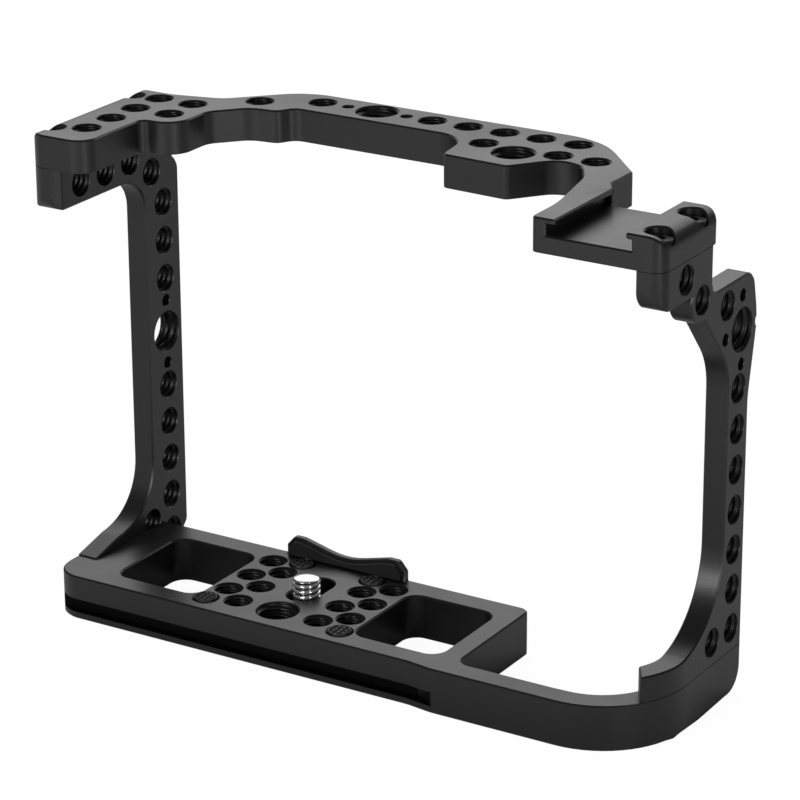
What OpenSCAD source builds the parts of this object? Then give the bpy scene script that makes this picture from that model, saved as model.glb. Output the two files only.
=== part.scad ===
// Camera cage: four machined aluminium pieces, screwed into an open frame round a camera.
// X = 0 is the lens centre line and +X the grip side of the camera.
// Z = 0 is the face that the camera sits on, and Y = 0 the middle of its field of holes.
// The camera's back faces -Y and its lens looks along +Y.

/* [Camera bay] */
// Height from the seat to the underside of the top plate
bay_h = 93.9; // [91:0.1:97]
// Distance from the lens centre line to the inner face of the left side
bay_left = 50.3; // [49.6:0.1:51]
// Distance from the lens centre line to the inner face of the right side
bay_right = 88.3; // [87:0.1:90]

/* [Plates] */
// Thickness of the bottom plate
plate_t = 10.3; // [9.6:0.1:11]
// Thickness of the top plate
top_t = 7.4; // [7:0.1:8]
// Thickness of the two side pieces
side_t = 5.3; // [5.1:0.1:5.6]

/* [Threaded holes] */
// Diameter of the small accessory threads (1/4 inch)
small_d = 6.35; // [6:0.05:6.5]
// Diameter of the large accessory threads (3/8 inch)
big_d = 9.525; // [9:0.025:9.8]
// Diameter of the locating holes beside the large threads
locator_d = 2.7; // [2.4:0.1:3]
// Distance from a large thread to its locating holes
locator_gap = 7.5; // [7.3:0.1:7.7]
// Pitch of the rows of small threads
hole_pitch = 9; // [8.8:0.05:9.2]

/* [Bottom plate] */
// Distance from Y = 0 back to the near edge of the plate
plate_near = 16.6; // [16:0.1:17.2]
// Distance from Y = 0 forward to the far edge of the plate
plate_far = 19.9; // [19.6:0.1:20.4]
// Distance from the lens centre line to the right end of the wide plate
plate_right = 47; // [46:0.1:49]
// Width of the bar that runs round to the right side
bar_w = 5.6; // [5.5:0.1:6]
// Outer radius of the bar's corner
bar_r = 20; // [18:0.5:22]
// Step of the bar's near face in front of the plate's near edge
bar_step = 0.9; // [0.7:0.1:1.2]
// Width of each pocket
pocket_w = 21.8; // [20:0.1:22.4]
// Distance from the lens centre line to each pocket
pocket_x = 20.1; // [19.8:0.1:20.8]
// Depth of the quick-release grooves in the long edges
groove_depth = 2.3; // [1.8:0.1:2.6]
// Height of those grooves
groove_h = 2.9; // [2.5:0.1:3.2]

/* [Camera screw] */
// Width of the slot that the camera screw slides in
slot_w = 6.8; // [6.6:0.1:7]
// Travel of the camera screw along its slot
slot_travel = 6.9; // [5:0.1:7.5]
// Diameter of the screw's head
screw_head_d = 8.6; // [8.2:0.1:8.7]
// Height of the thread above the seat
screw_proud = 3.7; // [3.4:0.1:6.5]

/* [Cold shoe] */
// Width of the shoe's channel
shoe_w = 19.2; // [18.7:0.1:19.4]
// Width of the opening between the shoe's lips
shoe_mouth = 15.8; // [12.5:0.1:16]
// Height of the channel under the lips
shoe_h = 2.3; // [2.1:0.05:2.6]
// Thickness of the lips
lip_t = 1.3; // [1.1:0.05:1.5]
// Length of the shoe
shoe_len = 24.5; // [20:0.1:25]

/* [Joint screws] */
// Diameter of the screws that join the left side and the bar
joint_d = 2.5; // [2.2:0.1:2.7]
// Diameter of their heads
joint_head_d = 4.5; // [4.2:0.1:4.6]
// Height of their heads
joint_head_h = 2.5; // [2:0.1:2.8]
// Diameter of the screws that join the top plate to the right side
block_screw_d = 3; // [2.8:0.1:3.2]
// Diameter of their heads
block_head_d = 5.5; // [5:0.1:5.6]
// Height of their heads
block_head_h = 3; // [2.5:0.1:3.2]

/* [Hidden] */
$fn = 64;

// Finishes
anodised = "#232325";
bare_steel = "#b9bbbd";
black_steel = "#2f3032";
rubber = "#2c2c2c";

// Overrun of a cut past the face that it starts from, and angle between the points of an arc
cut = 1;
arc_step = 6;

// Radial room of a screw in its hole, of a head in its counterbore and of a pad in its seat
screw_room = 0.05;
head_room = 0.2;
pad_room = 0.05;

// Outer faces, and the underside and top of the frame
left_out = -bay_left - side_t;
right_out = bay_right + side_t;
under = -plate_t;
top_z = bay_h + top_t;

// Bar: its near face, its inner faces and the centre of its corner
bar_near = -plate_near - bar_step;
bar_inner_y = bar_near + bar_w;
bar_inner_x = right_out - bar_w;
bar_cx = right_out - bar_r;
bar_cy = bar_near + bar_r;
bar_step_from = 37.5;
bar_step_to = 43.5;
bar_step_r = 12;
bar_heel_r = 5.5;

// Wide plate: corner radii, pockets and grooves
plate_corner_r = 6.8;
plate_end_r = 2.3;
plate_notch_r = 3;
pocket_near = -11.1;
pocket_far = 14;
pocket_r = 3.5;
groove_rim = 1.6;
groove_low = under + groove_rim;
groove_end_near = 38.5;
groove_end_far = 42.9;
groove_cutter_r = 6;

// Field of small threads round the camera screw, in steps from the middle
field_inner_x = 10.4;
field_outer_x = 15.9;
field_step = 8.9;
field_steps = [-1, 0, 1];
tripod_y = -field_step;

// Left side: column, arm and foot
left_near = 16.1;
left_far = 29.1;
left_hole_y = 23;
left_socket_z = 45.6;
left_socket_gap = 12.8;
left_holes_below = 5;
left_holes_above = 3;
arm_h = 9.7;
arm_near = -16.3;
arm_tip_r = 3.5;
arm_bend_r = 8;
arm_far = 24.8;
arm_hole_y = 1.9;
arm_hole_drop = 4.9;
arm_end_hole = [18.9, 9.5];
arm_step = 2.3;
arm_out = left_out - arm_step;
arm_plan_r = 5;
arm_chamfer = 2.3;
arm_shoulder_drop = 5.2;
arm_cheek_drop = 9.8;
foot_r = 16;
foot_near = 4;
toe_near = -6.6;
toe_h = 0.3;
toe_rise = 2.8;
toe_root = 3.4;
heel_cut = 7.6;
heel_r = 2.4;
foot_hole = [15.2, 1.2];
foot_screw_z = -5.4;
foot_screw_y = [7.4, 15.5];

// Right side: column, ear, block and foot
right_near = 18.5;
right_far = 27.9;
right_hole_y = 23.1;
right_first_z = 5.25;
right_holes = 7;
right_foot_hole_y = 14.3;
right_foot_r = 18;
right_foot_h = 4.8;
right_foot_start = 4.2;
right_foot_rise = 6.3;
right_foot_end = [86, -4.2];
right_foot_tip = [89.2, -9.4];
right_socket = [24, 22.1];
ear_drop = 10.5;
ear_top_out = 1;
ear_top_r = 3.8;
ear_out = 3.4;
ear_out_drop = 21.4;
ear_out_r = 18;
ear_root_drop = 37.9;
ear_root_r = 20;
block_far = 9.9;
block_near = -12.3;
block_step = 0.6;
block_t = side_t + block_step;
block_h = 8.6;
block_tip_r = 4.2;
block_corner_r = 3.3;
block_root_r = 2.5;
strut_start = 1.5;
strut_end_drop = 28.7;
strut_r = 14;
block_holes = [[-1.7, 4], [5.6, 10.3], [17.1, 14.9]];
block_boss_r = 4.9;

// Top plate: its rows of threads, and the lobe at its left end
top_row_y = 35.9;
top_row_holes = 5;
top_socket_x = -1.6;
top_socket_gap = 14.05;
left_row_inset = 7;
left_row_x = left_out + left_row_inset;
left_row_y = -6.7;
left_row_holes = 4;
left_lobe = [left_row_x + hole_pitch, left_row_y + 2 * hole_pitch];
left_lobe_r = 6.1;
lobe_hole = [-28.2, 29.8];
top_big = [39.5, 23.9];
inner_row_x = [30.6, 48.6, 57.6];
inner_row_y = 26.8;

// Corners of the top plate that no other piece sets, as x, y and radius
left_end_w = 6.4;
left_end_r = 4.4;
left_end_far_r = 2;
lobe_near_y = 4.8;
lobe_root_r = 2;
lobe_near_r = 5.6;
lobe_far_y = 17;
lobe_far_r = 5;
top_near_y = 29;
top_far_y = 41.6;
window_left = [[-27, 24.2, 6], [-20.6, 25, 2.5], [-18.4, top_near_y, 3]];
window_right = [[25, top_near_y, 8], [27, 15.6, 1.6], [42.9, 14.8, 1.8]];
shoe_arm = [[50.4, 24.5, 5.5], [56.5, 22.8, 4], [60.4, 16, 9]];
shoe_waist_y = -2;
shoe_waist_r = 30;
shoe_tip_r = 1.4;
shoe_far_r = 2;
shoe_root_y = 24.6;
shoe_root_r = 1.2;
far_edge = [[51.8, top_far_y, 20], [-23.1, top_far_y, 15], [-36.6, 27.6, 8], [-48, 24.8, 10]];
round_r = 3.2;
ridge_r = 3.6;

// Cold shoe: channel and walls
shoe_near = block_near;
shoe_far = shoe_near + shoe_len;
ridge_w = 7;
shoe_right = right_out - ridge_w;
shoe_left = shoe_right - shoe_w;
shoe_base_z = top_z - lip_t - shoe_h;
lip_reach = 2.1;
lip_end_gap = 3.2;
lip_end_r = 0.8;
shoe_wall = 3.3;

// Joint screws: seats and lengths
seat_above_seam = 2.9;
left_screw_inset = 2.9;
left_screw_y = [-9.7, 19.6];
left_screw_len = 4.8;
block_screw_inset = 3.2;
block_screw_y = [-7.6, 6.6];
block_screw_len = 8;
bar_seat_h = 5.2;
bar_seat_z = under + bar_seat_h;
bar_screw_y = [-1, 9];
bar_screw_len = 8.6;
foot_seat_depth = 2.8;
foot_seat_x = left_out + foot_seat_depth;
foot_screw_len = 8.2;
hex_share = 0.5;
hex_depth_share = 0.55;

// Camera screw: place, ledge and washer
slot_near = 0.9;
screw_from_end = 1.8;
screw_y = slot_near + screw_from_end;
ledge_z = -5.2;
washer_t = 0.6;
washer_room = 0.05;
running_room = 0.06;
screw_head_h = 3.2;
coin_slot_w = 1.5;
coin_slot_depth = 1.3;
tip_chamfer = 0.7;
thread_foot = 0.3;
neck_d = 4.9;

// Rubber pads and the lip that stops the camera from turning
base_pad_d = 5.5;
base_pad_depth = 1;
base_pad_proud = 0.4;
base_pad_near = [17.4, -11.2];
base_pad_far = [9.2, 15.2];
lip_half = 15.6;
lip_back = 20.4;
lip_face = 18.6;
lip_root_z = -4.5;
lip_horn = 4.4;
lip_tip_r = 1;
lip_dip = 1.6;
lip_horn_from = 11.2;
lip_horn_to = 13.7;
lip_shoulder = 2.2;
lip_dip_r = 18;
pad_inset = 0.8;
pad_t = 0.8;
pad_foot_gap = 0.3;

// Points of an arc that rounds the corner p between the edges to a and to b
function unit(v) = v / norm(v);
function bearing(v) = atan2(v[1], v[0]);
function arc_points(c, r, from, sweep) = let (n = max(1, ceil(abs(sweep) / arc_step)))
    [for (i = [0 : n]) c + r * [cos(from + sweep * i / n), sin(from + sweep * i / n)]];
function corner(a, p, b, r) = r == 0 ? [p] : let (
    u = unit(a - p), v = unit(b - p), half = acos(u * v) / 2,
    c = p + unit(u + v) * r / sin(half),
    side = u[0] * v[1] - u[1] * v[0] > 0 ? -1 : 1)
    arc_points(c, r, bearing(p + u * r / tan(half) - c), side * (180 - 2 * half));
function flat_point(p) = [p[0], p[1]];
// An outline of [x, y, radius] corners as plain points
function rounded(p) = [for (i = [0 : len(p) - 1]) each corner(
    flat_point(p[(i + len(p) - 1) % len(p)]), flat_point(p[i]),
    flat_point(p[(i + 1) % len(p)]), p[i][2])];

// Plan of the bottom plate with its bar
plate_outline = [
    [left_out, -plate_near, plate_corner_r],
    [bar_step_from, -plate_near, bar_step_r], [bar_step_to, bar_near, bar_step_r],
    [right_out, bar_near, bar_r], [right_out, right_far, 0], [bar_inner_x, right_far, 0],
    [bar_inner_x, bar_inner_y, bar_r - bar_w], [plate_right, bar_inner_y, plate_notch_r],
    [plate_right, plate_far, plate_end_r], [-bay_left, plate_far, 0],
    [-bay_left, foot_near, 0], [left_out, foot_near, 0]];

// Side view of the left side, from its toe round by the heel to the arm
left_outline = [
    [toe_near, 0, 0], [foot_near, 0, 0], [foot_near, under, 0],
    [left_far - heel_cut, under, heel_r], [left_far, under + heel_cut, heel_r],
    [left_far, bay_h - arm_cheek_drop, arm_tip_r], [arm_far, bay_h - arm_shoulder_drop, arm_tip_r],
    [arm_far, bay_h, 0], [arm_near, bay_h, 0], [arm_near, bay_h - arm_h, arm_tip_r],
    [left_near, bay_h - arm_h, arm_bend_r], [left_near, toe_rise, foot_r - toe_rise],
    [toe_root, toe_rise, foot_r], [toe_near, toe_h, 0]];
arm_outline = [
    [arm_near, bay_h - arm_h, arm_tip_r], [left_hole_y, bay_h - arm_h, 0],
    [arm_far, bay_h - arm_shoulder_drop, 0], [arm_far, bay_h, 0], [arm_near, bay_h, 0]];

// Side view of the right side: foot, column, ear, block and strut
right_outline = [
    [bar_near, 0, 0], [right_far, 0, 0], [right_far, bay_h - ear_root_drop, ear_root_r],
    [right_far + ear_out, bay_h - ear_out_drop, ear_out_r],
    [right_far + ear_top_out, bay_h - ear_drop, ear_top_r], [block_far, bay_h - ear_drop, block_root_r],
    [block_far, bay_h, 0], [block_near, bay_h, 0], [block_near, bay_h - block_h, block_tip_r],
    [strut_start, bay_h - block_h, block_root_r], [right_near, bay_h - strut_end_drop, strut_r],
    [right_near, right_foot_rise, right_foot_r - right_foot_rise],
    [right_foot_start, right_foot_rise, right_foot_r],
    [-right_foot_start, right_foot_h, right_foot_r], [bar_near, right_foot_h, 0]];

module spandrel(r) {
    difference() {
        translate([-cut, -cut]) square(r + cut);
        translate([r, r]) circle(r);
    }
}

// A sheet in the YZ plane, from x to x + t
module side_sheet(x, t) {
    translate([x, 0, 0]) rotate([90, 0, 90]) linear_extrude(t) children();
}

// A prism along Y from y0 to y1, drawn in the XZ plane
module long_prism(y0, y1) {
    translate([0, y1, 0]) rotate([90, 0, 0]) linear_extrude(y1 - y0) children();
}

module hole_x(d, y, z, x0, x1) {
    translate([x0 - cut, y, z]) rotate([0, 90, 0]) cylinder(d = d, h = x1 - x0 + 2 * cut);
}

module hole_z(d, x, y, z0, z1) {
    translate([x, y, z0 - cut]) cylinder(d = d, h = z1 - z0 + 2 * cut);
}

module plate_body() {
    translate([0, 0, under]) linear_extrude(plate_t) polygon(rounded(plate_outline));
    long_prism(lip_face, lip_back) polygon(rounded(lip_profile(0, lip_root_z)));
}

// Front view of the lip: two horns with a dip between them, drawn in from its edge by inset
function lip_profile(inset, foot) = [
    [-lip_half + inset, foot, 0], [lip_half - inset, foot, 0],
    [lip_half - inset, lip_shoulder - inset / 2, lip_tip_r],
    [lip_horn_to - inset / 2, lip_horn - inset, lip_tip_r],
    [lip_horn_from, lip_horn - inset, lip_tip_r], [0, lip_dip - inset, lip_dip_r],
    [-lip_horn_from, lip_horn - inset, lip_tip_r],
    [-lip_horn_to + inset / 2, lip_horn - inset, lip_tip_r],
    [-lip_half + inset, lip_shoulder - inset / 2, lip_tip_r]];

module pocket(x) {
    translate([x, 0, under - cut]) linear_extrude(plate_t + 2 * cut) polygon(rounded([
        [0, pocket_near, pocket_r], [pocket_w, pocket_near, pocket_r],
        [pocket_w, pocket_far, pocket_r], [0, pocket_far, pocket_r]]));
}

// A slot along Y of width w, for a screw whose centre runs over the travel
module screw_slot(w, z0, z1) {
    translate([0, slot_near, z0]) cylinder(d = w, h = z1 - z0);
    translate([0, slot_near + slot_travel, z0]) cylinder(d = w, h = z1 - z0);
    translate([-w / 2, slot_near, z0]) cube([w, slot_travel, z1 - z0]);
}

module pad_places() {
    for (side = [-1, 1]) {
        translate([side * base_pad_near[0], base_pad_near[1]]) children();
        translate([side * base_pad_far[0], base_pad_far[1]]) children();
    }
}

module bottom_plate() {
    color(anodised) difference() {
        plate_body();
        pocket(pocket_x);
        pocket(-pocket_x - pocket_w);
        // Quick-release grooves along both long edges, each with the round end that its cutter leaves
        translate([left_out - cut, -plate_near - cut, groove_low])
            cube([groove_end_near - left_out + cut, groove_depth + cut, groove_h]);
        translate([groove_end_near, groove_depth - plate_near - groove_cutter_r, groove_low])
            cylinder(r = groove_cutter_r, h = groove_h);
        translate([-bay_left - cut, plate_far - groove_depth, groove_low])
            cube([groove_end_far + bay_left + cut, groove_depth + cut, groove_h]);
        translate([groove_end_far, plate_far - groove_depth + groove_cutter_r, groove_low])
            cylinder(r = groove_cutter_r, h = groove_h);
        // Rounded heel of the bar under the right side
        side_sheet(bar_inner_x - cut, bar_w + 2 * cut)
            translate([right_far, under]) mirror([1, 0]) spandrel(bar_heel_r);
        // Field of small threads, the large tripod thread and the slot between them
        for (side = [-1, 1], i = field_steps) {
            hole_z(small_d, side * field_inner_x, i * field_step, under, 0);
            hole_z(small_d, side * field_outer_x, (i + 1 / 2) * field_step, under, 0);
        }
        hole_z(big_d, 0, tripod_y, under, 0);
        screw_slot(slot_w, ledge_z - cut, cut);
        screw_slot(screw_head_d + 2 * head_room, under - cut, ledge_z);
        translate([0, 0, -base_pad_depth]) pad_places()
            cylinder(d = base_pad_d + 2 * pad_room, h = base_pad_depth + cut);
        // Screws up into the right side, and the tapped holes for the left foot
        for (y = bar_screw_y) {
            hole_z(joint_d + 2 * screw_room, bar_screw_x(y), y, under, 0);
            translate([bar_screw_x(y), y, under - cut])
                cylinder(d = joint_head_d + 2 * head_room, h = bar_seat_z - under + cut);
        }
        for (y = foot_screw_y)
            hole_x(joint_d + 2 * screw_room, y, foot_screw_z, -bay_left, foot_seat_x + foot_screw_len);
    }
}

// Middle of the bar at y, where it follows the corner below the corner's centre
function bar_screw_x(y) = let (r = bar_r - bar_w / 2)
    y > bar_cy ? right_out - bar_w / 2 : bar_cx + sqrt(r * r - (bar_cy - y) * (bar_cy - y));

module left_side() {
    color(anodised) difference() {
        union() {
            side_sheet(left_out, side_t) polygon(rounded(left_outline));
            side_sheet(arm_out, side_t) polygon(rounded(arm_outline));
        }
        // The arm's near end: a round outer corner and a bevelled inner one
        translate([arm_out, arm_near, bay_h - arm_h - cut]) linear_extrude(arm_h + 2 * cut)
            spandrel(arm_plan_r);
        translate([-bay_left, arm_near, bay_h - arm_h - cut]) linear_extrude(arm_h + 2 * cut)
            polygon([[-arm_chamfer - cut, -cut], [cut, -cut], [cut, arm_chamfer + cut]]);
        // Column, with its large thread between two groups of small ones
        for (i = [0 : left_holes_below - 1])
            hole_x(small_d, left_hole_y, left_socket_z - left_socket_gap - i * hole_pitch,
                left_out, -bay_left);
        for (i = [0 : left_holes_above - 1])
            hole_x(small_d, left_hole_y, left_socket_z + left_socket_gap + i * hole_pitch,
                left_out, -bay_left);
        hole_x(big_d, left_hole_y, left_socket_z, left_out, -bay_left);
        for (side = [-1, 1])
            hole_x(locator_d, left_hole_y, left_socket_z + side * locator_gap, left_out, -bay_left);
        // Arm and foot
        for (i = field_steps)
            hole_x(small_d, arm_hole_y + i * hole_pitch, bay_h - arm_hole_drop, arm_out, -bay_left);
        hole_x(small_d, arm_end_hole[0], bay_h - arm_end_hole[1], arm_out, -bay_left);
        hole_x(small_d, foot_hole[0], foot_hole[1], left_out, -bay_left);
        // Tapped holes under the top plate, and the seats of the foot's screws
        for (y = left_screw_y)
            translate([arm_out + left_screw_inset, y, bay_h + seat_above_seam - left_screw_len])
                cylinder(d = joint_d + 2 * screw_room, h = left_screw_len);
        for (y = foot_screw_y) {
            hole_x(joint_d + 2 * screw_room, y, foot_screw_z, left_out, -bay_left);
            translate([left_out - cut, y, foot_screw_z]) rotate([0, 90, 0])
                cylinder(d = joint_head_d + 2 * head_room, h = foot_seat_x - left_out + cut);
        }
    }
}

// Plan that the right foot keeps to: the bar's own corner, cut off at its near end
module right_foot_plan() {
    difference() {
        union() {
            intersection() {
                translate([bar_cx, bar_cy]) circle(bar_r);
                translate([bar_cx, bar_near - cut]) square([bar_r + cut, bar_r + cut]);
            }
            translate([bar_cx, bar_cy]) square([bar_r, right_far - bar_cy]);
        }
        translate([bar_cx, bar_cy]) circle(bar_r - side_t);
        translate([bar_cx - cut, bar_cy]) square([bar_r - side_t + cut, right_far]);
        polygon([right_foot_end, right_foot_tip + (right_foot_tip - right_foot_end),
            [bar_cx, bar_near - bar_r], [bar_cx - bar_r, bar_near], [bar_cx, bar_cy]]);
    }
}

module right_side() {
    color(anodised) difference() {
        union() {
            intersection() {
                side_sheet(bar_cx, bar_r) polygon(rounded(right_outline));
                union() {
                    linear_extrude(right_near + right_foot_rise) right_foot_plan();
                    translate([bay_right, bar_cy, 0]) cube([side_t, right_far + ear_out - bar_cy, bay_h]);
                    translate([bay_right, block_near, bay_h - strut_end_drop])
                        cube([side_t, block_far - block_near, strut_end_drop]);
                    translate([right_out - block_t, block_near, bay_h - block_h])
                        cube([block_t, block_far - block_near, block_h]);
                }
            }
            // Boss round the hole below the block
            translate([bay_right, block_holes[1][0], bay_h - block_holes[1][1]]) rotate([0, 90, 0])
                cylinder(r = block_boss_r, h = side_t);
        }
        translate([right_out, block_near, bay_h - strut_end_drop]) linear_extrude(strut_end_drop + cut)
            mirror([1, 0]) spandrel(block_corner_r);
        // Column, foot, ear and block
        for (i = [0 : right_holes - 1])
            hole_x(small_d, right_hole_y, right_first_z + i * hole_pitch, bay_right, right_out);
        hole_x(small_d, right_foot_hole_y, right_first_z, bay_right, right_out);
        for (p = block_holes)
            hole_x(small_d, p[0], bay_h - p[1], right_out - block_t, right_out);
        hole_x(big_d, right_socket[0], bay_h - right_socket[1], bay_right, right_out);
        for (a = [0 : 90 : 270])
            hole_x(locator_d, right_socket[0] + locator_gap * cos(a),
                bay_h - right_socket[1] + locator_gap * sin(a), bay_right, right_out);
        // Tapped holes for the screws from the top plate and from the bar
        for (y = block_screw_y)
            translate([right_out - block_screw_inset, y, bay_h + seat_above_seam - block_screw_len])
                cylinder(d = block_screw_d + 2 * screw_room, h = block_screw_len);
        for (y = bar_screw_y)
            translate([bar_screw_x(y), y, -cut])
                cylinder(d = joint_d + 2 * screw_room, h = bar_seat_z + bar_screw_len + cut);
    }
}

// Plan of the top plate, from its left end along the near edge and back by the far edge
top_outline = concat(
    [[arm_out, arm_near, arm_plan_r], [left_row_x + left_end_w, arm_near, left_end_r],
    [left_row_x + left_end_w, lobe_near_y, lobe_root_r],
    [left_lobe[0] + left_lobe_r, lobe_near_y, lobe_near_r],
    [left_lobe[0] + left_lobe_r, lobe_far_y, lobe_far_r]],
    window_left, window_right, shoe_arm,
    [[shoe_left - shoe_wall, shoe_waist_y, shoe_waist_r],
    [shoe_left - shoe_wall, shoe_near, shoe_tip_r], [right_out, shoe_near, block_corner_r],
    [right_out, shoe_far, shoe_far_r], [shoe_left + lip_reach, shoe_far, lip_end_r],
    [shoe_left, shoe_far + lip_end_gap, lip_end_r], [shoe_left, shoe_root_y, shoe_root_r]],
    far_edge, [[arm_out, arm_far, left_end_far_r]]);

top_holes = concat(
    [for (i = [0 : left_row_holes - 1]) [left_row_x, left_row_y + i * hole_pitch]],
    [for (i = [0, 1]) left_lobe + [0, i * hole_pitch]],
    [for (i = [0 : top_row_holes - 1]) [top_socket_x + top_socket_gap + i * hole_pitch, top_row_y]],
    [[top_socket_x - top_socket_gap, top_row_y], lobe_hole],
    [for (x = inner_row_x) [x, inner_row_y]]);

// A screw's hole through the top plate, with the counterbore of its head
module screw_seat(x, y, d, head_d) {
    hole_z(d + 2 * screw_room, x, y, bay_h, top_z);
    translate([x, y, bay_h + seat_above_seam]) cylinder(d = head_d + 2 * head_room, h = top_t + cut);
}

module top_plate() {
    color(anodised) difference() {
        translate([0, 0, bay_h]) linear_extrude(top_t) polygon(rounded(top_outline));
        // Long rounded edges on the left end and on the shoe's outer ridge
        long_prism(arm_near - cut, arm_far + cut)
            translate([arm_out, top_z]) mirror([0, 1]) spandrel(round_r);
        long_prism(shoe_near - cut, shoe_far + cut)
            translate([right_out, top_z]) rotate(180) spandrel(ridge_r);
        // Channel and mouth of the cold shoe
        translate([shoe_left, shoe_near - cut, shoe_base_z]) cube([shoe_w, shoe_len + 2 * cut, shoe_h]);
        translate([shoe_left + lip_reach, shoe_near - cut, shoe_base_z])
            cube([shoe_mouth, shoe_len + 2 * cut, shoe_h + lip_t + cut]);
        // Threads
        for (p = top_holes)
            hole_z(small_d, p[0], p[1], bay_h, top_z);
        hole_z(big_d, top_socket_x, top_row_y, bay_h, top_z);
        hole_z(big_d, top_big[0], top_big[1], bay_h, top_z);
        for (side = [-1, 1])
            hole_z(locator_d, top_socket_x + side * locator_gap, top_row_y, bay_h, top_z);
        // Seats of the joint screws
        for (y = left_screw_y)
            screw_seat(arm_out + left_screw_inset, y, joint_d, joint_head_d);
        for (y = block_screw_y)
            screw_seat(right_out - block_screw_inset, y, block_screw_d, block_head_d);
    }
}

module lip_pad() {
    color(rubber) long_prism(lip_face - pad_t, lip_face)
        polygon(rounded(lip_profile(pad_inset, pad_foot_gap)));
}

module base_pad(x, y) {
    color(rubber) translate([x, y, -base_pad_depth])
        cylinder(d = base_pad_d, h = base_pad_depth + base_pad_proud);
}

module camera_screw() {
    head_top = ledge_z - washer_room - washer_t - washer_room;
    color(bare_steel) translate([0, screw_y, 0]) difference() {
        union() {
            translate([0, 0, head_top - screw_head_h]) cylinder(d = screw_head_d, h = screw_head_h);
            translate([0, 0, head_top - cut])
                cylinder(d = neck_d, h = thread_foot - head_top + cut);
            translate([0, 0, thread_foot])
                cylinder(d = small_d, h = screw_proud - tip_chamfer - thread_foot);
            translate([0, 0, screw_proud - tip_chamfer])
                cylinder(d1 = small_d, d2 = small_d - 2 * tip_chamfer, h = tip_chamfer);
        }
        translate([-screw_head_d, -coin_slot_w / 2, head_top - screw_head_h - cut])
            cube([2 * screw_head_d, coin_slot_w, coin_slot_depth + cut]);
    }
}

module screw_washer() {
    color(bare_steel) translate([0, screw_y, ledge_z - washer_room - washer_t]) difference() {
        cylinder(d = screw_head_d, h = washer_t);
        translate([0, 0, -cut]) cylinder(d = small_d + 2 * running_room, h = washer_t + 2 * cut);
    }
}

// A socket screw along -Z, with the underside of its head at the origin
module socket_screw(d, head_d, head_h, length) {
    color(black_steel) difference() {
        union() {
            cylinder(d = head_d, h = head_h);
            translate([0, 0, -length]) cylinder(d = d, h = length + head_h / 2);
        }
        translate([0, 0, head_h * (1 - hex_depth_share)])
            cylinder(d = head_d * hex_share, h = head_h, $fn = 6);
    }
}

module left_screw(i) {
    translate([arm_out + left_screw_inset, left_screw_y[i], bay_h + seat_above_seam])
        socket_screw(joint_d, joint_head_d, joint_head_h, left_screw_len - screw_room);
}

module block_screw(i) {
    translate([right_out - block_screw_inset, block_screw_y[i], bay_h + seat_above_seam])
        socket_screw(block_screw_d, block_head_d, block_head_h, block_screw_len - screw_room);
}

module foot_screw(i) {
    translate([foot_seat_x, foot_screw_y[i], foot_screw_z]) rotate([0, -90, 0])
        socket_screw(joint_d, joint_head_d, joint_head_h, foot_screw_len);
}

module bar_screw(i) {
    translate([bar_screw_x(bar_screw_y[i]), bar_screw_y[i], bar_seat_z]) rotate([180, 0, 0])
        socket_screw(joint_d, joint_head_d, joint_head_h, bar_screw_len);
}

bottom_plate();
left_side();
right_side();
top_plate();
lip_pad();
base_pad(-base_pad_near[0], base_pad_near[1]);  // base_pad_near_left
base_pad(base_pad_near[0], base_pad_near[1]);  // base_pad_near_right
base_pad(-base_pad_far[0], base_pad_far[1]);  // base_pad_far_left
base_pad(base_pad_far[0], base_pad_far[1]);  // base_pad_far_right
camera_screw();
screw_washer();
left_screw(0);  // top_left_screw_near
left_screw(1);  // top_left_screw_far
block_screw(0);  // top_right_screw_near
block_screw(1);  // top_right_screw_far
foot_screw(0);  // foot_screw_near
foot_screw(1);  // foot_screw_far
bar_screw(0);  // bar_screw_near
bar_screw(1);  // bar_screw_far
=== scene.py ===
import math

import bmesh
import bpy
import numpy as np
from mathutils import Matrix, Vector


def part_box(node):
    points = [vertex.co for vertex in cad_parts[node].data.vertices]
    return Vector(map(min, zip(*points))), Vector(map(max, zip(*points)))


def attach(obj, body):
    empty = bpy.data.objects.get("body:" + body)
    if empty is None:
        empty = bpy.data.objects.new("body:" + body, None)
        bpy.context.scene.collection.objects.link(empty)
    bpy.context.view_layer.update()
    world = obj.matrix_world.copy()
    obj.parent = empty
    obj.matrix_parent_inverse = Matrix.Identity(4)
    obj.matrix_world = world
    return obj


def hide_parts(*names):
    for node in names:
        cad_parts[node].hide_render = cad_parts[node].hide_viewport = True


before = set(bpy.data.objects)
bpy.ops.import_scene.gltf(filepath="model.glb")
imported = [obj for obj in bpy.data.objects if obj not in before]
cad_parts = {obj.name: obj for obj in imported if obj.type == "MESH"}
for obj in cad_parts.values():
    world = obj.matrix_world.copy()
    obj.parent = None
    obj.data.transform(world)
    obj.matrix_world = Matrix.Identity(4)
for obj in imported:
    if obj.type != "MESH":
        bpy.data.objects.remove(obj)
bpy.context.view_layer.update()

bl_info = {
    "name": "Camera cage finish",
    "version": (1, 0, 0),
    "blender": (4, 5, 0),
    "location": "View3D > Sidebar > Cage",
    "description": "Bevels, threads, rubber and finishes of a machined camera cage, with its studio",
    "category": "Object",
}

MM = 0.001

# Datums of the frame, in millimetres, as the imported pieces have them
SEAT_Z = 0.0
PLATE_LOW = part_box("bottom_plate")[0][2] / MM
SEAM_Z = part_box("top_plate")[0][2] / MM
TOP_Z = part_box("top_plate")[1][2] / MM
LEFT_OUT, LEFT_IN = -55.6, -50.3
ARM_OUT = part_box("left_side")[0][0] / MM
RIGHT_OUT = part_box("right_side")[1][0] / MM
RIGHT_IN = RIGHT_OUT - 5.3
BLOCK_IN = RIGHT_OUT - 5.9
BAR_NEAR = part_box("bottom_plate")[0][1] / MM
BAR_CORNER_X = RIGHT_OUT - 20
FOOT_TIP_Y = -9.4

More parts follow.
